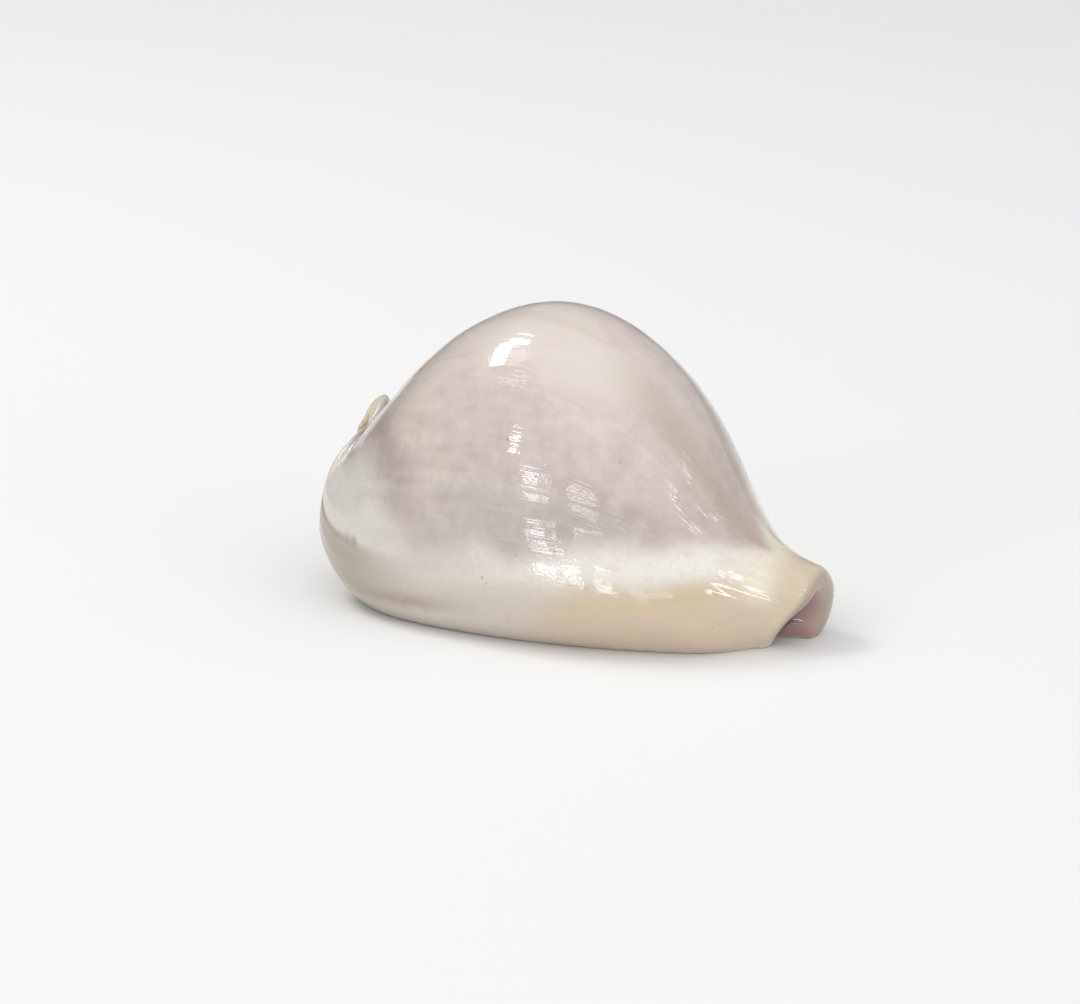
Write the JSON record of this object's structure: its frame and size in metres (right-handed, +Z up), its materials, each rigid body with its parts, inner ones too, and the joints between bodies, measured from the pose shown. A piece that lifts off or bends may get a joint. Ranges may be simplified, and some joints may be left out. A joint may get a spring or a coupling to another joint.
{
  "type": "egg cowrie shell",
  "caption": "Glossy egg cowrie sea shell: a humped oval dome on a thick rolled lip, with a narrow toothed mouth underneath and a short open canal at each end.",
  "frame": {"origin": "bottom centre of the shell's box, on the surface it rests on", "axes": "+X towards the front canal (the beak), -Y towards the outer lip, +Z up; the mouth faces down"},
  "size_m": [0.0444, 0.0244, 0.0258],
  "materials": {
    "shell": "polished natural shell, pale lilac to cream, wet-looking gloss"
  },
  "bodies": {
    "root": {"shell": "shell"}
  },
  "joints": []
}
